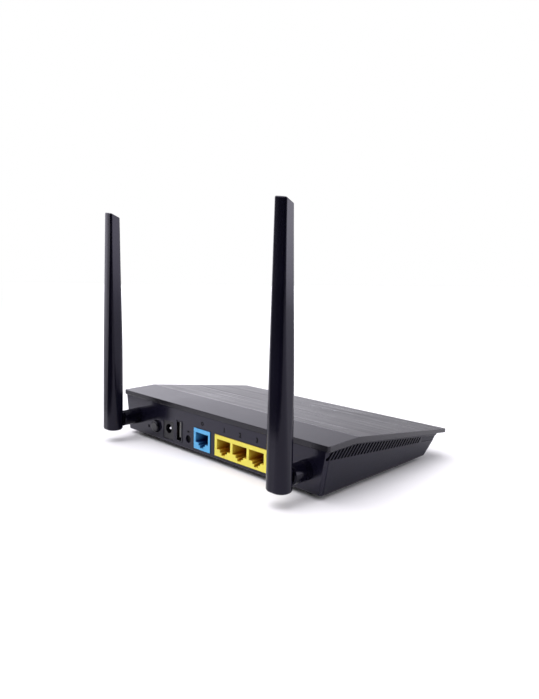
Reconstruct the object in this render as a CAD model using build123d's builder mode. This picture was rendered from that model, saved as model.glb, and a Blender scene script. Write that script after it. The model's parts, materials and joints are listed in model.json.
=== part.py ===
from build123d import *
import os

os.makedirs("parts", exist_ok=True)

# A desktop wireless router. Millimetres, +Z up, z = 0 is the surface it stands on.
# The rear panel with the sockets and the antennas faces +Y, and +X is to the right
# of someone who faces the front. The origin is under the middle of the whole object.

# ---------------------------------------------------------------- driving dimensions
COVER_WIDTH = 187.5
COVER_DEPTH = 121.0
COVER_REAR_Z = 30.0
CREASE_Z = 30.5
CREASE_INSET = 25.3
COVER_TIP_Z = 17.8
LIP_REAR = 3.3
LIP_SIDE = 3.4
LIP_TIP = 2.4
COVER_SKIN = 2.0
COVER_CORNER = 1.2
CEILING_FRONT = 100.0
CEILING_HALF_WIDTH = 90.0

FOOT_HEIGHT = 2.6
FLOOR_THICK = 1.4
WALL = 2.2
BASE_HALF_WIDTH = 88.8
BASE_DEPTH = 103.4
SIDE_TAPER = 0.174
FRONT_UNDERCUT = 0.961
PANEL_INSET = 0.5

VENT_COUNT = 31
VENT_PITCH = 3.0
VENT_WIDTH = 1.5
VENT_LEAN = 35

ANTENNA_X = 77.7
ANTENNA_INSET = -19.0
SWIVEL_Z = 14.0
ANTENNA_BOTTOM = 7.8
ANTENNA_TOP = 153.2
ANTENNA_WIDTH = 13.9
ANTENNA_DEPTH = 11.4

BOARD_Z = 5.4
BOARD_THICK = 1.2
BOARD_HALF_WIDTH = 74.0

PORT_PITCH = 13.97
WAN_X = 6.5
LAN_X = -34.85
JACK_BOTTOM = 5.05
JACK_TOP = 18.2

DC_X = 41.5
DC_HOLE_Z = 11.8
USB_X = 29.8
POWER_X = 55.0
POWER_Z = 10.9
POWER_RADIUS = 3.6
POWER_TRAVEL = 1.5
WPS_X = 20.4
RESET_X = 63.8
SMALL_BUTTON_Z = 9.3

# ---------------------------------------------------------------- derived dimensions
Y_REAR = (COVER_DEPTH - (ANTENNA_DEPTH / 2 - ANTENNA_INSET)) / 2
Y_FRONT = Y_REAR - COVER_DEPTH
HOUSING_BOTTOM = FOOT_HEIGHT
FLOOR_TOP = HOUSING_BOTTOM + FLOOR_THICK
BOARD_TOP = BOARD_Z + BOARD_THICK
PANEL_INNER = PANEL_INSET + WALL
MAIN_SLOPE = (CREASE_Z - COVER_TIP_Z) / (COVER_DEPTH - CREASE_INSET)
SIDES = {"left": -1, "right": 1}


def inward(distance):
    """Y of a point this far in front of the cover's rear edge."""
    return Y_REAR - distance


def cover_top(distance):
    """Height of the main slope of the cover, this far in front of its rear edge."""
    return CREASE_Z - (distance - CREASE_INSET) * MAIN_SLOPE


def save(piece, name):
    """Label a finished piece and write it to its own file."""
    piece.part.label = name
    export_step(piece.part, f"parts/{name}.step")


def block(low, high, mode=Mode.ADD):
    """A box between two opposite corners, inside the current part."""
    size = [b - a for a, b in zip(low, high)]
    middle = [(a + b) / 2 for a, b in zip(low, high)]
    with Locations(tuple(middle)):
        Box(*size, mode=mode)


def rod(x, z, radius, near, far, mode=Mode.ADD):
    """A round rod along Y, from one inset to a deeper one, inside the current part."""
    with Locations(Plane((x, inward(near), z), x_dir=(1, 0, 0), z_dir=(0, -1, 0))):
        Cylinder(radius, far - near, align=(Align.CENTER, Align.CENTER, Align.MIN), mode=mode)


def post(x, distance, radius, low, high, mode=Mode.ADD):
    """An upright round post, inside the current part."""
    with Locations((x, inward(distance), low)):
        Cylinder(radius, high - low, align=(Align.CENTER, Align.CENTER, Align.MIN), mode=mode)


def side_profile(points, x_low, x_high, mode=Mode.ADD):
    """Extrude a closed outline of (inset, z) points along X, inside the current part."""
    with BuildSketch(Plane.YZ.offset(x_low)) as outline:
        with BuildLine():
            Polyline([(inward(distance), z) for distance, z in points], close=True)
        make_face()
    extrude(outline.sketch, amount=x_high - x_low, mode=mode)


JACK_INSET = 0.1
JACK_LIP_END = 4.2
PORT_TOP = 15.7
PORT_SHOULDER = 9.3
LATCH_STEP = 7.8
PORT_BOTTOM = 6.3

NECK_RADIUS = 3.5
RUNNING_GAP = 0.06
HUB_INNER = 6.0
SCREW_SEAT_Z = 5.2
FOOT_SINK = 0.8
KEYHOLE_RADIUS = 3.75

# Windows in the rear panel: low x, low z, high x, high z.
PANEL_WINDOWS = [
    (WAN_X - 8.0, 4.9, WAN_X + 8.0, 18.35),
    (LAN_X - 29.2, 4.9, LAN_X + 29.2, 18.35),
    (DC_X - 5.5, 4.8, DC_X + 5.5, 16.85),
    (USB_X - 3.4, 5.6, USB_X + 3.4, 19.3),
]
# Round holes in the rear panel: x, z, radius.
PANEL_HOLES = [
    (POWER_X, POWER_Z, POWER_RADIUS + 0.6),
    (WPS_X, SMALL_BUTTON_Z, 2.45),
    (RESET_X, SMALL_BUTTON_Z, 1.0),
]

# ---------------------------------------------------------------- the casing
SCREW_SPOTS = [(side * 83.5, distance) for side in (-1, 1) for distance in (24, 76)]
FOOT_SPOTS = [(side * 77.0, distance) for side in (-1, 1) for distance in (10, 90)]
BOARD_SCREW_SPOTS = [(side * 68.0, distance) for side in (-1, 1) for distance in (36, 72)]
KEYHOLE_SPOTS = [(side * 50.0, 88) for side in (-1, 1)]
INDICATOR_X = [10.0 * step - 25.0 for step in range(6)]
INDICATOR_INSET = 92.0
BOSS_SPLIT_Z = 9.0

lip_underside = [
    (0, COVER_REAR_Z - LIP_REAR),
    (CREASE_INSET, CREASE_Z - LIP_SIDE),
    (COVER_DEPTH, COVER_TIP_Z - LIP_TIP),
]
cover_surface = [(COVER_DEPTH, COVER_TIP_Z), (CREASE_INSET, CREASE_Z), (0, COVER_REAR_Z)]

# The top cover is a thin plate with one crease, hollow underneath inside its edge lip.
with BuildPart() as top_cover:
    side_profile(lip_underside + cover_surface, -COVER_WIDTH / 2, COVER_WIDTH / 2)
    fillet(top_cover.edges().filter_by(Axis.Z), COVER_CORNER)
    chamfer(top_cover.edges().filter_by(Axis.X).sort_by(Axis.Y)[-1], 0.4)
    side_profile(
        [
            (PANEL_INNER, 0),
            (PANEL_INNER, COVER_REAR_Z - COVER_SKIN),
            (CREASE_INSET, CREASE_Z - COVER_SKIN),
            (CEILING_FRONT, cover_top(CEILING_FRONT) - COVER_SKIN),
            (CEILING_FRONT, 0),
        ],
        -CEILING_HALF_WIDTH,
        CEILING_HALF_WIDTH,
        mode=Mode.SUBTRACT,
    )
    for x, distance in SCREW_SPOTS:
        post(x, distance, 3.2, BOSS_SPLIT_Z, cover_top(distance) - COVER_SKIN / 2)
        post(x, distance, 1.3, BOSS_SPLIT_Z, BOSS_SPLIT_Z + 9.0, mode=Mode.SUBTRACT)
    for x in (-69.0, -23.0, 23.0, 69.0):
        block((x - 5, inward(4.5), 21.0), (x + 5, inward(2.9), COVER_REAR_Z - 1.5))
    for x in INDICATOR_X:
        post(x, INDICATOR_INSET, 1.2, 10.0, 30.0, mode=Mode.SUBTRACT)
save(top_cover, "top_cover")


def housing_block(bottom, top, shrink):
    """The tapering body of the lower housing, between two heights."""
    def outline(z):
        rise = z - HOUSING_BOTTOM
        half_width = BASE_HALF_WIDTH + SIDE_TAPER * rise - shrink
        rear = inward(PANEL_INSET) - shrink
        front = inward(PANEL_INSET + BASE_DEPTH) - FRONT_UNDERCUT * rise + shrink * 1.45
        return half_width, rear, front

    sections = []
    for z in (bottom, top):
        half_width, rear, front = outline(z)
        with BuildSketch(Plane.XY.offset(z)) as section:
            with Locations((0, (rear + front) / 2)):
                Rectangle(2 * half_width, rear - front)
        sections.append(section.sketch)
    loft(sections, ruled=True)


with BuildPart() as cavity:
    housing_block(FLOOR_TOP, 32.0, WALL)

above_lip = lip_underside + [
    (COVER_DEPTH + 20, COVER_TIP_Z - LIP_TIP),
    (COVER_DEPTH + 20, 60),
    (0, 60),
]


def vent_edge(distance, upper):
    """Height of the lower or upper edge of the band of side vents."""
    lower_z = 22.1 - 0.097 * (distance - 1.5)
    if not upper:
        return lower_z
    return 26.4 if distance < CREASE_INSET else 26.4 - 0.139 * (distance - CREASE_INSET)


VENT_REAR = 0.8
VENT_FRONT = VENT_REAR + VENT_COUNT * VENT_PITCH
RECESS_FRONT = 124.0
RECESS_HALF_WIDTH = 89.7

# The lower housing is one tray: floor, sloping front, tapered sides and socket panel.
with BuildPart() as bottom_housing:
    housing_block(HOUSING_BOTTOM, 31.0, 0.0)
    slanted = bottom_housing.edges().filter_by(lambda edge: abs(edge.tangent_at(0.5).Z) > 0.3)
    fillet(slanted, 2.0)
    fillet(bottom_housing.faces().sort_by(Axis.Z)[0].edges(), 0.8)
    add(cavity.part, mode=Mode.SUBTRACT)
    side_profile(above_lip, -120, 120, mode=Mode.SUBTRACT)
    for start in (-96.0, 85.0):
        with BuildSketch(Plane.YZ.offset(start)):
            for index in range(VENT_COUNT):
                distance = VENT_REAR + VENT_PITCH * (index + 0.5)
                middle = (vent_edge(distance, False) + vent_edge(distance, True)) / 2
                with Locations((inward(distance), middle)):
                    Rectangle(VENT_WIDTH, 14.0, rotation=VENT_LEAN)
            with BuildLine():
                Polyline(
                    (inward(VENT_REAR), vent_edge(VENT_REAR, False)),
                    (inward(VENT_REAR), vent_edge(VENT_REAR, True)),
                    (inward(CREASE_INSET), vent_edge(CREASE_INSET, True)),
                    (inward(VENT_FRONT), vent_edge(VENT_FRONT, True)),
                    (inward(VENT_FRONT), vent_edge(VENT_FRONT, False)),
                    close=True,
                )
            make_face(mode=Mode.INTERSECT)
        extrude(amount=11.0, mode=Mode.SUBTRACT)
    for start in (-RECESS_HALF_WIDTH - 6.0, RECESS_HALF_WIDTH):
        with BuildSketch(Plane.YZ.offset(start)):
            with BuildLine():
                Polyline(
                    (inward(VENT_FRONT + 1.5), vent_edge(VENT_FRONT + 1.5, False)),
                    (inward(VENT_FRONT + 1.5), vent_edge(VENT_FRONT + 1.5, True)),
                    (inward(RECESS_FRONT), vent_edge(RECESS_FRONT, True)),
                    (inward(RECESS_FRONT), vent_edge(RECESS_FRONT, False)),
                    close=True,
                )
            make_face()
        extrude(amount=6.0, mode=Mode.SUBTRACT)
    for side in SIDES.values():
        rod(side * ANTENNA_X, SWIVEL_Z, 7.0, WALL, HUB_INNER)
        rod(side * ANTENNA_X, SWIVEL_Z, NECK_RADIUS + RUNNING_GAP, -1.0, 7.0, mode=Mode.SUBTRACT)
    for low_x, low_z, high_x, high_z in PANEL_WINDOWS:
        block((low_x, inward(4.0), low_z), (high_x, inward(-1.0), high_z), mode=Mode.SUBTRACT)
    for x, z, radius in PANEL_HOLES:
        rod(x, z, radius, -1.0, 4.0, mode=Mode.SUBTRACT)
    for x, distance in SCREW_SPOTS:
        post(x, distance, 4.2, FLOOR_TOP - 0.5, BOSS_SPLIT_Z)
        post(x, distance, 1.5, HOUSING_BOTTOM, BOSS_SPLIT_Z, mode=Mode.SUBTRACT)
        post(x, distance, 2.9, HOUSING_BOTTOM - 1, SCREW_SEAT_Z, mode=Mode.SUBTRACT)
    for x, distance in BOARD_SCREW_SPOTS:
        post(x, distance, 3.0, FLOOR_TOP - 0.5, BOARD_Z)
        post(x, distance, 1.1, HOUSING_BOTTOM + 0.6, BOARD_Z, mode=Mode.SUBTRACT)
    for x, distance in FOOT_SPOTS:
        post(x, distance, 5.1, HOUSING_BOTTOM - 1, HOUSING_BOTTOM + FOOT_SINK, mode=Mode.SUBTRACT)
    for x, distance in KEYHOLE_SPOTS:
        post(x, distance, KEYHOLE_RADIUS, 0, FLOOR_TOP + 1, mode=Mode.SUBTRACT)
        post(x, distance + 7.0, 2.0, 0, FLOOR_TOP + 1, mode=Mode.SUBTRACT)
        slot_low = (x - 2, inward(distance + 7), 0)
        slot_high = (x + 2, inward(distance), FLOOR_TOP + 1)
        block(slot_low, slot_high, mode=Mode.SUBTRACT)
    with BuildSketch(Plane.XY.offset(HOUSING_BOTTOM)):
        for side in SIDES.values():
            with Locations((side * 42, inward(50))):
                with GridLocations(5.0, 1.0, 8, 1):
                    SlotOverall(26.0, 1.8, rotation=90)
    extrude(amount=FLOOR_THICK, mode=Mode.SUBTRACT)
save(bottom_housing, "bottom_housing")

with BuildPart() as rubber_feet:
    for x, distance in FOOT_SPOTS:
        post(x, distance, 5.0, 0.0, FOOT_HEIGHT + FOOT_SINK)
    soles = rubber_feet.faces().sort_by(Axis.Z)[:4].edges()
    fillet(soles, 0.6)
save(rubber_feet, "rubber_feet")


def screw(x, distance, seat, head_radius, head_height, shank_radius, length, points_up):
    """A cross-head screw, its head under or over the seat, inside the current part."""
    direction = 1 if points_up else -1
    head_end = seat - direction * head_height
    post(x, distance, head_radius, min(seat, head_end), max(seat, head_end))
    shank_end = seat + direction * length
    post(x, distance, shank_radius, min(seat, shank_end), max(seat, shank_end))
    low, high = sorted((head_end, head_end + direction * head_height * 0.5))
    for width, depth in ((head_radius, 0.3), (0.3, head_radius)):
        block(
            (x - width * 0.6, inward(distance) - depth * 0.6, low),
            (x + width * 0.6, inward(distance) + depth * 0.6, high),
            mode=Mode.SUBTRACT,
        )


with BuildPart() as housing_screws:
    for x, distance in SCREW_SPOTS:
        screw(x, distance, SCREW_SEAT_Z, 2.6, 1.9, 1.3, 11.5, True)
save(housing_screws, "housing_screws")

with BuildPart() as board_screws:
    for x, distance in BOARD_SCREW_SPOTS:
        screw(x, distance, BOARD_TOP, 2.3, 1.5, 1.1, 3.2, False)
save(board_screws, "board_screws")

with BuildPart() as rating_label:
    block((-15, inward(75), HOUSING_BOTTOM - 0.15), (15, inward(25), HOUSING_BOTTOM))
    fillet(rating_label.edges().filter_by(Axis.Z), 2.0)
save(rating_label, "rating_label")

# ---------------------------------------------------------------- the circuit board
BOARD_REAR = 4.5
BOARD_FRONT = 80.0
BOARD_TONGUE = 96.0

with BuildPart() as main_board:
    block(
        (-BOARD_HALF_WIDTH, inward(BOARD_FRONT), BOARD_Z),
        (BOARD_HALF_WIDTH, inward(BOARD_REAR), BOARD_TOP),
    )
    block((-34, inward(BOARD_TONGUE), BOARD_Z), (34, inward(BOARD_FRONT), BOARD_TOP))
    fillet(main_board.edges().filter_by(Axis.Z), 1.0)
    block((USB_X - 3.2, inward(14.8), 0), (USB_X + 3.2, inward(0), 20), mode=Mode.SUBTRACT)
    for x, distance in BOARD_SCREW_SPOTS:
        post(x, distance, 1.3, 0, 20, mode=Mode.SUBTRACT)
save(main_board, "main_board")


def chip(x, distance, width, depth, height, base=BOARD_TOP):
    """A flat rectangular component standing on the board, inside the current part."""
    y = inward(distance)
    block((x - width / 2, y - depth / 2, base), (x + width / 2, y + depth / 2, base + height))


with BuildPart() as processor:
    chip(-8, 48, 14, 14, 1.2)
save(processor, "processor")

SINK_BASE = BOARD_TOP + 1.2
with BuildPart() as heat_sink:
    chip(-8, 48, 22, 22, 1.5, SINK_BASE)
    for index in range(7):
        chip(-8 - 10.4 + index * 3.467, 48, 1.2, 22, 6.0, SINK_BASE)
save(heat_sink, "heat_sink")

with BuildPart() as memory_chips:
    chip(15, 42, 8, 12, 1.1)
    chip(15, 60, 8, 12, 1.1)
save(memory_chips, "memory_chips")

with BuildPart() as ethernet_transformers:
    for x, width in ((-50, 15), (-20, 15), (WAN_X, 12)):
        chip(x, 24.5, width, 9, 5)
    chamfer(ethernet_transformers.edges().filter_by(Axis.Z), 0.5)
save(ethernet_transformers, "ethernet_transformers")

with BuildPart() as filter_capacitors:
    for x in (29.0, 38.0, 47.0):
        post(x, 24, 3.15, BOARD_TOP, BOARD_TOP + 7.7)
    fillet(filter_capacitors.faces().sort_by(Axis.Z)[-3:].edges(), 0.4)
save(filter_capacitors, "filter_capacitors")

with BuildPart() as power_inductor:
    chip(56, 28, 7, 7, 4)
    chamfer(power_inductor.edges().filter_by(Axis.Z), 1.2)
save(power_inductor, "power_inductor")

with BuildPart() as clock_crystal:
    chip(-26, 40, 5, 3.2, 1.2)
    fillet(clock_crystal.edges().filter_by(Axis.Z), 0.6)
save(clock_crystal, "clock_crystal")

with BuildPart() as radio_shields:
    for x in (-47, 45):
        chip(x, 55, 26, 24, 2.6)
        y = inward(55)
        block((x - 12.7, y - 11.7, BOARD_TOP), (x + 12.7, y + 11.7, BOARD_TOP + 2.3), mode=Mode.SUBTRACT)
save(radio_shields, "radio_shields")

with BuildPart() as indicator_leds:
    for x in INDICATOR_X:
        chip(x, INDICATOR_INSET, 1.6, 1.2, 0.7)
save(indicator_leds, "indicator_leds")

LENS_TOP = cover_top(INDICATOR_INSET) - 0.1
with BuildPart() as light_guide:
    for x in INDICATOR_X:
        post(x, INDICATOR_INSET, 1.1, BOARD_TOP + 0.9, LENS_TOP)
    block((-27, inward(INDICATOR_INSET + 1), 13.0), (27, inward(INDICATOR_INSET - 1), 14.5))
save(light_guide, "light_guide")

# ---------------------------------------------------------------- sockets on the rear panel
PORT_DEPTH = 13.5
JACK_END = 17.0
CONTACT_PITCH = 1.02


def jack_face(inset):
    """A drawing plane that faces into the router, this far in front of the cover's rear edge."""
    return Plane((0, inward(inset), 0), x_dir=(1, 0, 0), z_dir=(0, -1, 0))


def network_jack(low_x, high_x, port_centres):
    """A moulded jack body with a stepped, latched opening for each plug."""
    block((low_x, inward(JACK_END), BOARD_TOP), (high_x, inward(JACK_INSET), JACK_TOP))
    block((low_x, inward(JACK_LIP_END), JACK_BOTTOM), (high_x, inward(JACK_INSET), BOARD_TOP))
    half_outline = [
        (6.0, PORT_TOP),
        (6.0, PORT_SHOULDER),
        (3.2, PORT_SHOULDER),
        (3.2, LATCH_STEP),
        (1.7, LATCH_STEP),
        (1.7, PORT_BOTTOM),
    ]
    mirrored = [(-x, z) for x, z in reversed(half_outline)]
    with BuildSketch(jack_face(JACK_INSET)) as openings:
        for centre in port_centres:
            with BuildLine():
                Polyline([(centre + x, z) for x, z in half_outline + mirrored], close=True)
            make_face()
    extrude(openings.sketch, amount=PORT_DEPTH, mode=Mode.SUBTRACT)


def port_contacts(port_centres):
    """Eight sprung wires hanging from the roof of each opening."""
    wire = [(3.0, PORT_TOP), (3.7, PORT_TOP), (11.0, 14.05), (11.0, 13.7), (10.6, 13.7)]
    for centre in port_centres:
        for index in range(8):
            x = centre + (index - 3.5) * CONTACT_PITCH
            side_profile(wire, x - 0.2, x + 0.2)


LAN_PORTS = [LAN_X + (index - 1.5) * PORT_PITCH for index in range(4)]

with BuildPart() as wan_jack:
    network_jack(WAN_X - 7.85, WAN_X + 7.85, [WAN_X])
save(wan_jack, "wan_jack")

with BuildPart() as wan_contacts:
    port_contacts([WAN_X])
save(wan_contacts, "wan_contacts")

with BuildPart() as lan_jack_block:
    network_jack(LAN_X - 29.05, LAN_X + 29.05, LAN_PORTS)
save(lan_jack_block, "lan_jack_block")

with BuildPart() as lan_contacts:
    port_contacts(LAN_PORTS)
save(lan_contacts, "lan_contacts")

DC_FACE = 0.8
DC_HOLE_END = 11.5
DC_PIN_END = 13.0
DC_PIN_RADIUS = 1.0
DC_COLLAR_RADIUS = 1.8
with BuildPart() as dc_jack:
    block((DC_X - 5.35, inward(15), BOARD_TOP), (DC_X + 5.35, inward(DC_FACE), 16.7))
    block((DC_X - 5.35, inward(JACK_LIP_END), 4.95), (DC_X + 5.35, inward(DC_FACE), BOARD_TOP))
    rod(DC_X, DC_HOLE_Z, 3.15, DC_FACE, DC_HOLE_END, mode=Mode.SUBTRACT)
    rod(DC_X, DC_HOLE_Z, DC_COLLAR_RADIUS, DC_HOLE_END, DC_PIN_END, mode=Mode.SUBTRACT)
save(dc_jack, "dc_jack")

with BuildPart() as dc_center_pin:
    rod(DC_X, DC_HOLE_Z, DC_PIN_RADIUS, 2.0, DC_HOLE_END)
    chamfer(dc_center_pin.faces().sort_by(Axis.Y)[-1].edges(), 0.3)
    rod(DC_X, DC_HOLE_Z, DC_COLLAR_RADIUS, DC_HOLE_END, DC_PIN_END)
save(dc_center_pin, "dc_center_pin")

with BuildPart() as usb_shell:
    block((USB_X - 2.9, inward(14.5), 5.9), (USB_X + 2.9, inward(0.3), 19.0))
    fillet(usb_shell.edges().filter_by(Axis.Y), 0.5)
    block((USB_X - 2.55, inward(13.5), 6.25), (USB_X + 2.55, inward(-1.0), 18.65), mode=Mode.SUBTRACT)
save(usb_shell, "usb_shell")

with BuildPart() as usb_tongue:
    block((USB_X - 0.6, inward(13.5), 8.4), (USB_X + 0.4, inward(1.2), 18.2))
save(usb_tongue, "usb_tongue")

with BuildPart() as usb_contacts:
    for z in (9.7, 12.1, 14.5, 16.9):
        block((USB_X + 0.4, inward(11.0), z - 0.6), (USB_X + 0.55, inward(2.0), z + 0.6))
save(usb_contacts, "usb_contacts")

# ---------------------------------------------------------------- buttons on the rear panel
with BuildPart() as power_button:
    rod(POWER_X, POWER_Z, POWER_RADIUS, -1.7, 3.3)
    fillet(power_button.faces().sort_by(Axis.Y)[-1].edges(), 0.7)
    block((POWER_X - 5.6, inward(4.2), POWER_Z - 3.5), (POWER_X + 5.6, inward(3.2), POWER_Z + 3.5))
    block((POWER_X - 1.5, inward(11.5), POWER_Z - 1.5), (POWER_X + 1.5, inward(4.2), POWER_Z + 1.5))
save(power_button, "power_button")

with BuildPart() as power_switch:
    block((POWER_X - 4, inward(18.5), BOARD_TOP), (POWER_X + 4, inward(10.0), 15.0))
    block(
        (POWER_X - 1.6, inward(11.5 + POWER_TRAVEL + 0.8), POWER_Z - 1.6),
        (POWER_X + 1.6, inward(10.0), POWER_Z + 1.6),
        mode=Mode.SUBTRACT,
    )
save(power_switch, "power_switch")

with BuildPart() as wps_button:
    rod(WPS_X, SMALL_BUTTON_Z, 2.2, 1.5, 3.4)
    fillet(wps_button.faces().sort_by(Axis.Y)[-1].edges(), 0.4)
    block((WPS_X - 3, inward(4.2), 7.2), (WPS_X + 3, inward(3.4), 11.4))
    rod(WPS_X, SMALL_BUTTON_Z, 0.9, 4.2, 6.5)
save(wps_button, "wps_button")

with BuildPart() as wps_switch:
    block((WPS_X - 3, inward(8.8), BOARD_TOP), (WPS_X + 3, inward(5.2), 12.4))
    rod(WPS_X, SMALL_BUTTON_Z, 1.0, 5.2, 7.6, mode=Mode.SUBTRACT)
save(wps_switch, "wps_switch")

with BuildPart() as reset_plunger:
    rod(RESET_X, SMALL_BUTTON_Z, 1.3, 3.6, 4.2)
    rod(RESET_X, SMALL_BUTTON_Z, 0.8, 4.2, 6.5)
save(reset_plunger, "reset_plunger")

with BuildPart() as reset_switch:
    block((RESET_X - 3, inward(8.6), BOARD_TOP), (RESET_X + 3, inward(5.0), 12.4))
    rod(RESET_X, SMALL_BUTTON_Z, 0.9, 5.0, 7.4, mode=Mode.SUBTRACT)
save(reset_switch, "reset_switch")

# ---------------------------------------------------------------- the two antennas
BARREL_END = -12.4
TONGUE_RADIUS = 4.5
TONGUE_HALF = 2.7
SLOT_RADIUS = 5.0
SLOT_HALF = 2.9
PIN_RADIUS = 1.25
ELEMENT_SEAT = 21.0
ELEMENT_TOP = 128.0
ELEMENT_HALF_WIDTH = 4.2
ELEMENT_TIP_HALF_WIDTH = 1.3
ELEMENT_THICK = 0.8
HEEL_RADIUS = 6.3
CLIP_NEAR = HUB_INNER + 0.1
CLIP_FAR = CLIP_NEAR + 1.1

BLADE_TIP_OFFSET = 3.7
BLADE_TIP_DEPTH = 7.9
BLADE_BULGE = 0.25
TIP_SLOPE = 0.36
TIP_SIDE_SLOPE = 0.12

# Blade sections from the hinge up: height, width of rear face, width of front face, depth,
# corner radius, and how far the front face lies in front of the hinge pin.
BLADE_SECTIONS = [
    (ANTENNA_BOTTOM, ANTENNA_WIDTH, ANTENNA_WIDTH, ANTENNA_DEPTH, 5.5, ANTENNA_DEPTH / 2),
    (30.0, 12.8, 13.0, 11.1, 4.6, 5.5),
    (60.0, 11.4, 11.1, 10.6, 3.2, 5.3),
    (95.0, 9.8, 8.6, 9.5, 2.0, 4.6),
    (125.0, 8.9, 6.2, 8.5, 1.2, 4.1),
    (ANTENNA_TOP + 3.0, 8.3, 4.9, BLADE_TIP_DEPTH, 1.3, BLADE_TIP_OFFSET),
]
# The hollow inside the blade, in the same order.
HOLLOW_SECTIONS = [
    (ELEMENT_SEAT, 10.4, 10.3, 7.9, 3.1, 4.0),
    (30.0, 9.7, 9.5, 7.6, 2.7, 3.9),
    (60.0, 8.1, 7.5, 6.8, 1.7, 3.5),
    (95.0, 6.4, 5.3, 5.9, 0.5, 3.0),
    (125.0, 5.1, 3.3, 5.2, 0.4, 2.6),
    (ANTENNA_TOP - 6.0, 4.4, 2.6, 4.9, 0.4, 2.2),
]


def blade_section(x, z, rear_width, front_width, depth, corner, front_offset):
    """A rounded trapezoid across the blade. Its wider face is at the rear, and bulges a little."""
    front = ANTENNA_INSET + front_offset
    rear = front - depth
    with BuildSketch(Plane.XY.offset(z)) as section:
        with BuildLine():
            Polyline(
                (x + rear_width / 2, inward(rear + BLADE_BULGE)),
                (x + front_width / 2, inward(front)),
                (x - front_width / 2, inward(front)),
                (x - rear_width / 2, inward(rear + BLADE_BULGE)),
            )
            ThreePointArc(
                (x - rear_width / 2, inward(rear + BLADE_BULGE)),
                (x, inward(rear)),
                (x + rear_width / 2, inward(rear + BLADE_BULGE)),
            )
        make_face()
        fillet(section.vertices(), corner)
    return section.sketch


def across(x_low, x_high, inset, z, radius, mode=Mode.ADD):
    """A round bar along X, inside the current part."""
    with Locations(Plane((x_low, inward(inset), z), x_dir=(0, 1, 0), z_dir=(1, 0, 0))):
        Cylinder(radius, x_high - x_low, align=(Align.CENTER, Align.CENTER, Align.MIN), mode=mode)


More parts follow.
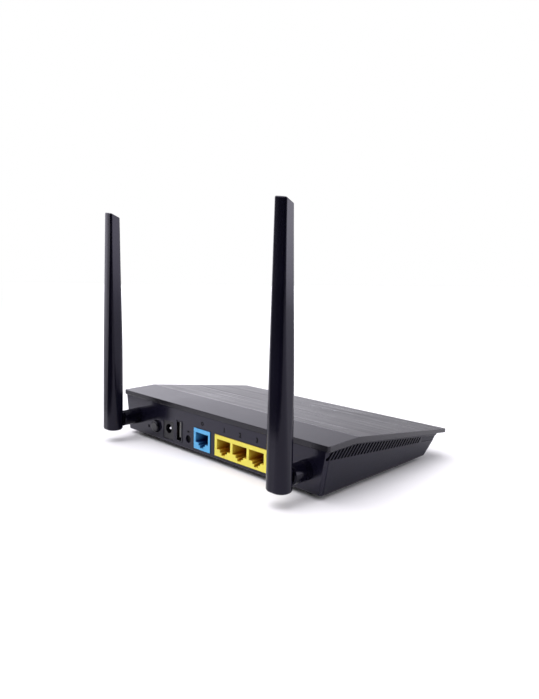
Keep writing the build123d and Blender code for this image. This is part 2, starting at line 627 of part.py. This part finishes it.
for side_name, side in SIDES.items():
    x = side * ANTENNA_X
    pin_z = SWIVEL_Z

    with BuildPart() as antenna_base:
        rod(x, SWIVEL_Z, NECK_RADIUS, 0.2, 9.0)
        rod(x, SWIVEL_Z, 5.4, -2.4, 0.2)
        rod(x, SWIVEL_Z, 4.7, -3.2, -2.4)
        rod(x, SWIVEL_Z, 5.2, BARREL_END, -3.2)
        chamfer(antenna_base.faces().sort_by(Axis.Y)[-1].edges(), 0.8)
        block(
            (x - TONGUE_HALF, inward(BARREL_END + 1), SWIVEL_Z - TONGUE_RADIUS),
            (x + TONGUE_HALF, inward(ANTENNA_INSET), SWIVEL_Z + TONGUE_RADIUS),
        )
        across(x - TONGUE_HALF, x + TONGUE_HALF, ANTENNA_INSET, pin_z, TONGUE_RADIUS)
        across(x - 5, x + 5, ANTENNA_INSET, pin_z, PIN_RADIUS + RUNNING_GAP, mode=Mode.SUBTRACT)
        rod(x, SWIVEL_Z, 1.3, BARREL_END, 9.0, mode=Mode.SUBTRACT)
        with BuildSketch(jack_face(CLIP_NEAR)):
            with Locations((x, SWIVEL_Z)):
                Circle(NECK_RADIUS)
                Circle(2.9, mode=Mode.SUBTRACT)
        extrude(amount=CLIP_FAR - CLIP_NEAR, mode=Mode.SUBTRACT)
    save(antenna_base, f"{side_name}_antenna_base")

    with BuildPart() as retaining_clip:
        rod(x, SWIVEL_Z, 5.3, CLIP_NEAR, CLIP_FAR)
        rod(x, SWIVEL_Z, 2.9, CLIP_NEAR, CLIP_FAR, mode=Mode.SUBTRACT)
        gap_low = (x - 1.9, inward(CLIP_FAR), SWIVEL_Z - 6)
        gap_high = (x + 1.9, inward(CLIP_NEAR), SWIVEL_Z)
        block(gap_low, gap_high, mode=Mode.SUBTRACT)
    save(retaining_clip, f"{side_name}_retaining_clip")

    with BuildPart() as hinge_pin:
        across(x - 6.0, x + 6.0, ANTENNA_INSET, pin_z, PIN_RADIUS)
    save(hinge_pin, f"{side_name}_hinge_pin")

    with BuildPart() as antenna_sleeve:
        loft([blade_section(x, *row) for row in BLADE_SECTIONS])
        fillet(antenna_sleeve.faces().sort_by(Axis.Z)[0].edges(), 1.3)
        tip_rear = (x, inward(ANTENNA_INSET + BLADE_TIP_OFFSET - BLADE_TIP_DEPTH), ANTENNA_TOP)
        tip_plane = Plane(tip_rear, z_dir=(-TIP_SIDE_SLOPE, -TIP_SLOPE, 1.0))
        split(bisect_by=tip_plane, keep=Keep.BOTTOM)
        fillet(antenna_sleeve.faces().sort_by(Axis.Z)[-1].edges(), 0.7)
        loft([blade_section(x, *row) for row in HOLLOW_SECTIONS], mode=Mode.SUBTRACT)
        block(
            (x - SLOT_HALF + 0.3, inward(ANTENNA_INSET + 2.6), pin_z),
            (x + SLOT_HALF - 0.3, inward(ANTENNA_INSET - 2.6), ELEMENT_SEAT + 0.5),
            mode=Mode.SUBTRACT,
        )
        across(x - SLOT_HALF, x + SLOT_HALF, ANTENNA_INSET, pin_z, SLOT_RADIUS, mode=Mode.SUBTRACT)
        block(
            (x - SLOT_HALF, inward(ANTENNA_INSET + 10), pin_z - SLOT_RADIUS),
            (x + SLOT_HALF, inward(ANTENNA_INSET), pin_z + SLOT_RADIUS),
            mode=Mode.SUBTRACT,
        )
        block(
            (x - SLOT_HALF, inward(ANTENNA_INSET + SLOT_RADIUS), 0),
            (x + SLOT_HALF, inward(ANTENNA_INSET - SLOT_RADIUS), pin_z),
            mode=Mode.SUBTRACT,
        )
        across(x - 6.0, x + 6.0, ANTENNA_INSET, pin_z, PIN_RADIUS, mode=Mode.SUBTRACT)
        with BuildSketch(Plane.YZ.offset(x - 10)):
            with Locations((inward(ANTENNA_INSET) - 5, pin_z - 5)):
                Rectangle(10, 10)
            with Locations((inward(ANTENNA_INSET), pin_z)):
                Circle(HEEL_RADIUS, mode=Mode.SUBTRACT)
        extrude(amount=20, mode=Mode.SUBTRACT)
    save(antenna_sleeve, f"{side_name}_antenna_sleeve")

    with BuildPart() as antenna_element:
        with BuildSketch(jack_face(ANTENNA_INSET + 0.2)):
            with BuildLine():
                Polyline(
                    (x - ELEMENT_HALF_WIDTH, ELEMENT_SEAT),
                    (x + ELEMENT_HALF_WIDTH, ELEMENT_SEAT),
                    (x + ELEMENT_TIP_HALF_WIDTH, ELEMENT_TOP),
                    (x - ELEMENT_TIP_HALF_WIDTH, ELEMENT_TOP),
                    close=True,
                )
            make_face()
        extrude(amount=ELEMENT_THICK)
    save(antenna_element, f"{side_name}_antenna_element")

    with BuildPart() as coax_lead:
        route = [
            (66.0, 28.0, 8.95),
            (67.0, 21.0, 9.2),
            (ANTENNA_X, 12.5, SWIVEL_Z),
            (ANTENNA_X, -9.0, SWIVEL_Z),
        ]
        with BuildLine() as lead_path:
            FilletPolyline([(side * px, inward(distance), pz) for px, distance, pz in route], radius=3.0)
        with BuildSketch(Plane(origin=lead_path.line @ 0, z_dir=lead_path.line % 0)):
            Circle(0.7)
        sweep()
    save(coax_lead, f"{side_name}_coax_lead")

with BuildPart() as antenna_sockets:
    for side in SIDES.values():
        chip(side * 66.0, 28.0, 3.0, 3.0, 1.6)
save(antenna_sockets, "antenna_sockets")
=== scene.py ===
import json
import math

import bpy
from mathutils import Matrix, Vector


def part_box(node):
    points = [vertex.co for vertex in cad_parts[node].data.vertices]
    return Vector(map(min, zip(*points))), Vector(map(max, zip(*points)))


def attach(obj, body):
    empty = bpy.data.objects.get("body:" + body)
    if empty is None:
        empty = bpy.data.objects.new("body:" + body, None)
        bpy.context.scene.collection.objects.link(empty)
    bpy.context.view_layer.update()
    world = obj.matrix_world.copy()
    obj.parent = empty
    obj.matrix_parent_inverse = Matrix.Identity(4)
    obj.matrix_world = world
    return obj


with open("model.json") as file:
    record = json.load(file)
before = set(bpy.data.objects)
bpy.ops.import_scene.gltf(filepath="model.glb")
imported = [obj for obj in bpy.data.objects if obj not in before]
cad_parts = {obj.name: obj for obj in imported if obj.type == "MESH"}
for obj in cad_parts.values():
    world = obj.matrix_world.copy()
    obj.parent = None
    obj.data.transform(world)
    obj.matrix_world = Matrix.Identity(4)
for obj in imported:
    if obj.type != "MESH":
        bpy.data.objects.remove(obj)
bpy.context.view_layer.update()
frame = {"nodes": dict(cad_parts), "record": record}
nodes = frame["nodes"]
scene = bpy.context.scene
scene.view_settings.view_transform = "Standard"
MM = 0.001


# ------------------------------------------------------------------ material building
class Graph:
    """A new node material, with short ways to add and join its nodes."""

    def __init__(self, name):
        self.material = bpy.data.materials.new(name)
        self.material.use_nodes = True
        self.tree = self.material.node_tree
        self.shader = self.tree.nodes["Principled BSDF"]
        self.place = self.tree.nodes.new("ShaderNodeTexCoord").outputs["Object"]

    def add(self, kind, inputs=None, **settings):
        node = self.tree.nodes.new(kind)
        for key, value in settings.items():
            setattr(node, key, value)
        for key, value in (inputs or {}).items():
            self.feed(node.inputs[key], value)
        return node

    def feed(self, socket, value):
        if isinstance(value, bpy.types.NodeSocket):
            self.tree.links.new(value, socket)
        else:
            socket.default_value = value

    def noise(self, scale, detail=3.0, stretch=(1, 1, 1)):
        mapped = self.add("ShaderNodeMapping", {"Vector": self.place, "Scale": stretch})
        inputs = {"Vector": mapped.outputs[0], "Scale": scale, "Detail": detail}
        return self.add("ShaderNodeTexNoise", inputs).outputs["Fac"]

    def spread(self, value, low, high, start=0.3, end=0.7):
        made = self.add(
            "ShaderNodeMapRange",
            {"Value": value, "From Min": start, "From Max": end, "To Min": low, "To Max": high},
        )
        return made.outputs["Result"]

    def math(self, operation, first, second=0.0):
        return self.add("ShaderNodeMath", {0: first, 1: second}, operation=operation).outputs[0]

    def blend(self, factor, first, second):
        made = self.add("ShaderNodeMix", data_type="RGBA")
        self.feed(made.inputs["Factor"], factor)
        self.feed(made.inputs["A"], first if not isinstance(first, tuple) else (*first, 1))
        self.feed(made.inputs["B"], second if not isinstance(second, tuple) else (*second, 1))
        return made.outputs["Result"]

    def axis(self, name):
        return self.add("ShaderNodeSeparateXYZ", {"Vector": self.place}).outputs[name]

    def facing(self, name):
        normal = self.add("ShaderNodeNewGeometry").outputs["Normal"]
        return self.add("ShaderNodeSeparateXYZ", {"Vector": normal}).outputs[name]

    def bump(self, height, strength, distance, normal=None):
        inputs = {"Height": height, "Strength": strength, "Distance": distance}
        made = self.add("ShaderNodeBump", inputs)
        if normal is not None:
            self.feed(made.inputs["Normal"], normal)
        return made.outputs["Normal"]

    def set(self, **sockets):
        for key, value in sockets.items():
            value = (*value, 1) if isinstance(value, tuple) and len(value) == 3 else value
            self.feed(self.shader.inputs[key.replace("_", " ")], value)
        return self


WHITE = (1.0, 1.0, 1.0)
VIOLET = (0.86, 0.83, 1.0)  # black plastics reflect with a slight violet cast
BLACK = (0.0050, 0.0046, 0.0105)
GRAIN_DEPTH = 0.02 * MM
# The lower sheen on the housing's sides is painted shade, not a different finish.
HOUSING_SHEEN, HOUSING_SHADED_SIDE_SHEEN = 0.35, 0.13


def moulded(name, colour, rough, grain, grain_size, patch, edge=0.0, specular=0.5, sheen=WHITE):
    """A moulded plastic: fine spark-eroded grain, uneven gloss and slightly uneven colour."""
    g = Graph(name)
    cloud = g.noise(45.0, 4.0)
    fine = g.noise(1000.0 / grain_size, 2.0)
    lighter = tuple(min(1.0, c * patch) for c in colour)
    base = g.blend(g.spread(cloud, 0.0, 1.0), colour, lighter)
    rounded = None
    if edge:
        rounded = g.add("ShaderNodeBevel", {"Radius": edge * MM}, samples=4).outputs[0]
    normal = g.bump(fine, grain, GRAIN_DEPTH, rounded)
    g.set(Base_Color=base, Roughness=g.spread(cloud, rough * 0.88, rough * 1.12), Normal=normal)
    g.set(Specular_IOR_Level=specular, Specular_Tint=sheen)
    return g


def duller_sides(g):
    """The housing's sides shine less than its rear panel: painted shade on the same plastic, for the
    shaded floor they face.
    """
    on_side = g.math("GREATER_THAN", g.math("ABSOLUTE", g.facing("X")), 0.9)
    g.set(Specular_IOR_Level=g.spread(on_side, HOUSING_SHEEN, HOUSING_SHADED_SIDE_SHEEN, 0.0, 1.0))


def metal(name, colour, rough, along=(1, 1, 1), scale=900.0):
    """A metal with drawn or rolled streaks and faint tarnish."""
    g = Graph(name)
    streak = g.noise(scale, 2.0, along)
    cloud = g.noise(160.0, 3.0)
    dull = tuple(c * 0.72 for c in colour)
    g.set(Base_Color=g.blend(g.spread(cloud, 0.0, 0.7), colour, dull), Metallic=1.0)
    g.set(Roughness=g.spread(streak, rough * 0.8, rough * 1.3), Normal=g.bump(streak, 0.25, 0.01 * MM))
    return g


def socket_plastic(name, colour, cavity_shade):
    """A bright socket body with painted shade: its openings turn dark further in."""
    patch = 1.05
    g = moulded(name, colour, 0.38, 0.20, 0.30, patch, 0.25, 0.4)
    # Painted shade: where ambient occlusion finds the surface hemmed in, the colour turns to the cavity
    # shade colour.
    shade = g.add("ShaderNodeAmbientOcclusion", {"Distance": 9.0 * MM}, samples=8)
    unshaded = g.spread(shade.outputs["AO"], 0.0, 1.0, 0.35, 0.85)
    lighter = tuple(min(1.0, c * patch) for c in colour)
    bright = g.blend(g.spread(g.noise(45.0, 4.0), 0.0, 1.0), colour, lighter)
    g.set(Base_Color=g.blend(unshaded, cavity_shade, bright))
    return g


CREASE_Y = 22.8 * MM


def cover_material():
    """Black plastic with fine lines across the sloping top, smooth behind the fold, with a painted
    highlight along the fold.
    """
    g = Graph("cover_plastic")
    y = g.axis("Y")
    cloud = g.noise(30.0, 4.0)
    lines = g.noise(1.0, 2.0, (18, 1500, 1500))
    coarse = g.noise(1.0, 3.0, (9, 420, 420))
    fine = g.noise(2600.0, 2.0)
    on_top = g.math("GREATER_THAN", g.facing("Z"), 0.9)
    in_front = g.math("LESS_THAN", y, CREASE_Y)
    lined = g.math("MULTIPLY", on_top, in_front)
    streak = g.math("MULTIPLY", g.spread(lines, -1.0, 1.0), lined)
    height = g.math("ADD", g.math("MULTIPLY", fine, 0.35), streak)
    # Painted highlight: a thin lighter line along the fold in the top, standing in for light caught
    # where the two slopes meet.
    crease_highlight_band = g.math("COMPARE", y, CREASE_Y)
    crease_highlight_band.node.inputs[2].default_value = 0.45 * MM
    crease_highlight = g.math("MULTIPLY", crease_highlight_band, on_top)
    base = g.blend(g.spread(cloud, 0.0, 1.0), (0.0085, 0.0082, 0.0105), (0.013, 0.0125, 0.016))
    base = g.blend(g.math("MULTIPLY", g.spread(coarse, 0.0, 0.55), lined), base, (0.030, 0.029, 0.034))
    # The painted highlight colour along the fold.
    base = g.blend(crease_highlight, base, (0.075, 0.072, 0.080))
    streaky = g.math("MULTIPLY", g.spread(coarse, 0.0, 0.14), lined)
    rough = g.math("ADD", g.spread(cloud, 0.22, 0.27), streaky)
    edge = g.add("ShaderNodeBevel", {"Radius": 0.5 * MM}, samples=4)
    g.set(Base_Color=base, Roughness=rough, Normal=g.bump(height, 0.30, 0.03 * MM, edge.outputs[0]))
    patches = g.spread(g.noise(22.0, 3.0), 0.0, 1.0, 0.35, 0.65)
    warmth = g.blend(patches, (0.96, 0.94, 0.93), (1.0, 0.97, 0.92))
    g.set(Specular_IOR_Level=g.spread(on_top, 0.33, 0.52, 0.0, 1.0))
    g.set(Specular_Tint=g.blend(lined, (0.93, 0.91, 1.0), warmth))
    return g


def board_material():
    """Green lacquered circuit board with copper tracks showing through and small plated holes."""
    g = Graph("board")
    cells = g.add("ShaderNodeTexBrick", {"Vector": g.place, "Scale": 420.0, "Mortar Size": 0.10})
    dots = g.add("ShaderNodeTexVoronoi", {"Vector": g.place, "Scale": 380.0})
    ring = g.math("LESS_THAN", dots.outputs["Distance"], 0.10)
    between = g.spread(cells.outputs["Fac"], 0.0, 0.55, 0.0, 1.0)
    lacquer = g.blend(between, (0.008, 0.075, 0.030), (0.018, 0.13, 0.05))
    g.set(Base_Color=g.blend(ring, lacquer, (0.62, 0.47, 0.20)))
    g.set(Roughness=g.spread(g.noise(90.0), 0.24, 0.36))
    g.set(Normal=g.bump(cells.outputs["Fac"], 0.3, 0.03 * MM))
    return g


def label_material():
    """A pale label with plain printed bars in place of any lettering."""
    g = Graph("label")
    row_height = 3.6 * MM
    rows = g.math("FRACT", g.math("MULTIPLY", g.axis("Y"), 1 / row_height))
    words = g.noise(1.0, 1.0, (420, 60, 1))
    printed = g.math("MULTIPLY", g.math("LESS_THAN", rows, 0.38), g.math("GREATER_THAN", words, 0.47))
    paper = g.blend(g.spread(g.noise(60.0), 0.0, 1.0), (0.62, 0.62, 0.60), (0.70, 0.70, 0.68))
    g.set(Base_Color=g.blend(printed, paper, (0.05, 0.05, 0.055)))
    g.set(Roughness=g.spread(g.noise(300.0), 0.35, 0.5))
    return g


# Moulded materials: colour, roughness, grain strength and grain size, how much lighter the patches
# are, and then, where it isn't plain, rounding of the edges in mm, specular level and its colour.
MOULDED = {
    "housing_plastic": (BLACK, 0.18, 0.25, 0.45, 1.5, 0.35, HOUSING_SHEEN, VIOLET),
    "antenna_plastic": ((0.0030, 0.0026, 0.0070), 0.18, 0.14, 0.40, 1.3, 0.4, 0.23, VIOLET),
    "hinge_plastic": ((0.0030, 0.0027, 0.0065), 0.16, 0.12, 0.40, 1.4, 0.3, 0.14, VIOLET),
    "button_plastic": ((0.0050, 0.0047, 0.0085), 0.16, 0.12, 0.35, 1.4, 0.3, 0.4),
    "button_rubber": ((0.0028, 0.0028, 0.0034), 0.55, 0.30, 0.30, 1.4, 0.2, 0.12),
    "socket_black": ((0.0050, 0.0048, 0.0070), 0.32, 0.25, 0.30, 1.5, 0.2, 0.4),
    # The USB tongue's grey is painted shade, darkening white plastic that sits deep in the slot.
    "usb_tongue_plastic": ((0.17, 0.17, 0.155), 0.42, 0.15, 0.30, 1.06),
    "chip": ((0.016, 0.016, 0.018), 0.50, 0.35, 0.15, 1.5),
    "capacitor_sleeve": ((0.012, 0.014, 0.045), 0.28, 0.10, 0.40, 1.3),
    "ferrite": ((0.055, 0.055, 0.060), 0.62, 0.50, 0.20, 1.4),
    "led": ((0.78, 0.80, 0.62), 0.25, 0.05, 0.20, 1.1),
    "clear_plastic": ((0.42, 0.44, 0.46), 0.22, 0.12, 0.25, 1.1),
    "cable_jacket": ((0.020, 0.020, 0.024), 0.45, 0.20, 0.25, 1.4),
    "rubber": ((0.020, 0.020, 0.021), 0.72, 0.60, 0.25, 1.5),
    "print_black": ((0.0020, 0.0020, 0.0025), 0.60, 0.10, 0.20, 1.2, 0.0, 0.1),
}
# Metals: colour, roughness and, where it is drawn or rolled, how its streaks run.
METALS = {
    "contact_metal": ((0.94, 0.40, 0.10), 0.38, (1, 30, 1)),
    "inlet_pin_metal": ((0.88, 0.88, 0.90), 0.18, (1, 20, 1)),
    # The USB shell's metal is darkened as painted shade, for the shadow deep in its slot.
    "usb_metal": ((0.11, 0.11, 0.13), 0.30, (1, 20, 1)),
    "screw_steel": ((0.46, 0.46, 0.48), 0.34),
    "heat_sink_metal": ((0.66, 0.67, 0.69), 0.36, (1, 24, 1)),
    "shield_metal": ((0.70, 0.70, 0.68), 0.30, (18, 1, 1)),
}
looks = {
    "cover_plastic": cover_material(),
    # Each socket's second colour is the painted shade deep in its openings.
    "wan_blue": socket_plastic("wan_blue", (0.100, 0.45, 0.80), (0.002, 0.012, 0.16)),
    "lan_yellow": socket_plastic("lan_yellow", (0.87, 0.77, 0.090), (0.46, 0.19, 0.005)),
    "board": board_material(),
    "label": label_material(),
}
looks |= {name: moulded(name, *row) for name, row in MOULDED.items()}
looks |= {name: metal(name, *row) for name, row in METALS.items()}
duller_sides(looks["housing_plastic"])
looks["clear_plastic"].set(Transmission_Weight=0.45, IOR=1.49)

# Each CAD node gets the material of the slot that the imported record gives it.
slot_of = {entry["node"]: entry["material_slot"] for entry in frame["record"]["subparts"]}
for name, piece in nodes.items():
    chosen = looks[slot_of[name]].material
    piece.data.materials.clear()
    piece.data.materials.append(chosen)


# ------------------------------------------------------------------ printed marks
PORT_PITCH = 13.97
PORT_COUNT = 4
MARK_Z = 21.8
PRINT_THICK = 0.02 * MM
panel_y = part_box("bottom_housing")[1].y


def middle_x(node):
    """Middle of a CAD node from side to side, in millimetres."""
    low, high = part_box(node)
    return (low.x + high.x) / 2 / MM


def mark(name, text, x, z, size, weight=0.18):
    """A small generic mark on the rear panel, its strokes thickened by a weight in millimetres."""
    curve = bpy.data.curves.new(name, "FONT")
    curve.body = text
    curve.size = size * MM
    curve.align_x = "CENTER"
    curve.align_y = "CENTER"
    curve.extrude = PRINT_THICK
    curve.offset = weight * MM
    piece = bpy.data.objects.new(name, curve)
    scene.collection.objects.link(piece)
    piece.rotation_euler = (math.radians(90), 0, math.radians(180))
    piece.location = (x * MM, panel_y + PRINT_THICK, z * MM)
    curve.materials.append(looks["print_black"].material)
    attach(piece, "root")


for index in range(PORT_COUNT):
    port = PORT_COUNT - index
    port_x = middle_x("lan_jack_block") + (index - (PORT_COUNT - 1) / 2) * PORT_PITCH
    mark(f"port_number_{port}", str(port), port_x, MARK_Z, size=3.9)
mark("wan_ring", "O", middle_x("wan_jack"), MARK_Z, size=3.2)
mark("wps_bar", "-", middle_x("wps_button"), z=14.6, size=6.5, weight=0.3)

# ------------------------------------------------------------------ floor, light, camera
# A white table top. Its rear edge runs just outside the view, and the room beyond it is dim.
EDGE_HEADING = math.radians(-22)
EDGE_POINT = Vector((-0.275, 0.295, 0))
TABLE = 8.0
inwards = Vector((math.sin(EDGE_HEADING), -math.cos(EDGE_HEADING), 0))
table_middle = EDGE_POINT + inwards * TABLE / 2
bpy.ops.mesh.primitive_plane_add(size=TABLE, location=table_middle, rotation=(0, 0, EDGE_HEADING))
floor = bpy.context.object
floor.name = "floor"
paper = Graph("floor_paper")
tone = paper.blend(paper.spread(paper.noise(3.0), 0.0, 1.0), (0.905, 0.905, 0.87), (0.935, 0.935, 0.90))
paper.set(Base_Color=tone, Roughness=paper.spread(paper.noise(40.0), 0.55, 0.65))
paper.set(Specular_IOR_Level=0.3)
floor.data.materials.append(paper.material)

# The camera stands behind the router, beyond its left antenna, and looks slightly down.
YAW, PITCH, ROLL = (math.radians(angle) for angle in (135.7354, -4.8134, 1.1723))
CAMERA_PLACE = Vector((-274.99, 278.81, 117.75)) * MM
LENS = 30.673
LENS_SHIFT = -0.0422
forward = Vector((math.cos(PITCH) * math.sin(YAW), math.cos(PITCH) * math.cos(YAW), math.sin(PITCH)))
side = forward.cross(Vector((0, 0, 1))).normalized()
above = side.cross(forward)
right = math.cos(ROLL) * side + math.sin(ROLL) * above
up = -math.sin(ROLL) * side + math.cos(ROLL) * above
camera_data = bpy.data.cameras.new("camera")
camera_data.lens = LENS
camera_data.shift_y = LENS_SHIFT
camera = bpy.data.objects.new("camera", camera_data)
scene.collection.objects.link(camera)
turn = Matrix((right, up, -forward)).transposed().to_4x4()
camera.matrix_world = Matrix.Translation(CAMERA_PLACE) @ turn
scene.camera = camera

# The studio that lights the router: a pale backdrop on the far side, a dim room behind the camera
# and four soft lamps. Where the camera itself sees past the table, it sees plain white.
BACKDROP_AZIMUTH, BACKDROP_HEIGHT = 345, -14
BACKDROP_LEVEL, DIM_LEVEL, TOP_LEVEL = 1.70, 0.05, 0.6
STUDIO_TINT = (0.985, 0.965, 1.06, 1.0)
LAMPS = [  # azimuth, height, how directly a ray must point at the lamp to meet its rim, level
    (238, 15, 0.80, 3.9),
    (35, 64, 0.64, 3.1),
    (15, 10, 0.88, 2.4),
    (300, 27, 0.93, 0.32),
]
world = bpy.data.worlds.new("studio")
scene.world = world
world.use_nodes = True
tree = world.node_tree
tree.nodes.clear()


def world_node(kind, inputs=None, **settings):
    node = tree.nodes.new(kind)
    for key, value in settings.items():
        setattr(node, key, value)
    for key, value in (inputs or {}).items():
        if isinstance(value, bpy.types.NodeSocket):
            tree.links.new(value, node.inputs[key])
        else:
            node.inputs[key].default_value = value
    return node


direction = world_node("ShaderNodeTexCoord").outputs["Generated"]


def towards(azimuth, height):
    """How directly a ray points to a place on the sky, given in degrees."""
    turn, rise = math.radians(azimuth), math.radians(height)
    aim = (math.cos(turn) * math.cos(rise), math.sin(turn) * math.cos(rise), math.sin(rise))
    inputs = {0: direction, 1: aim}
    return world_node("ShaderNodeVectorMath", inputs, operation="DOT_PRODUCT").outputs["Value"]


def ramp(value, start, end, low, high):
    inputs = {"Value": value, "From Min": start, "From Max": end, "To Min": low, "To Max": high}
    return world_node("ShaderNodeMapRange", inputs, interpolation_type="SMOOTHSTEP").outputs["Result"]


backdrop = towards(BACKDROP_AZIMUTH, BACKDROP_HEIGHT)
around = ramp(backdrop, 0.47, 1.00, DIM_LEVEL, BACKDROP_LEVEL)
overhead = ramp(towards(0, 90), 0.50, 0.85, 0.0, 1.0)
sky = world_node("ShaderNodeMix", {"Factor": overhead, "A": around, "B": TOP_LEVEL})
level = sky.outputs["Result"]
for azimuth, height, rim, strength in LAMPS:
    lamp = ramp(towards(azimuth, height), rim, 1.0, 0.0, strength)
    level = world_node("ShaderNodeMath", {0: level, 1: lamp}, operation="ADD").outputs[0]
shaped = world_node("ShaderNodeBackground", {"Color": STUDIO_TINT, "Strength": level})
plain = world_node("ShaderNodeBackground", {"Color": (1.0, 1.0, 1.0, 1.0), "Strength": 1.0})
seen = world_node("ShaderNodeLightPath").outputs["Is Camera Ray"]
mixed = world_node("ShaderNodeMixShader", {0: seen, 1: shaped.outputs[0], 2: plain.outputs[0]})
world_node("ShaderNodeOutputWorld", {"Surface": mixed.outputs[0]})

bpy.context.view_layer.update()
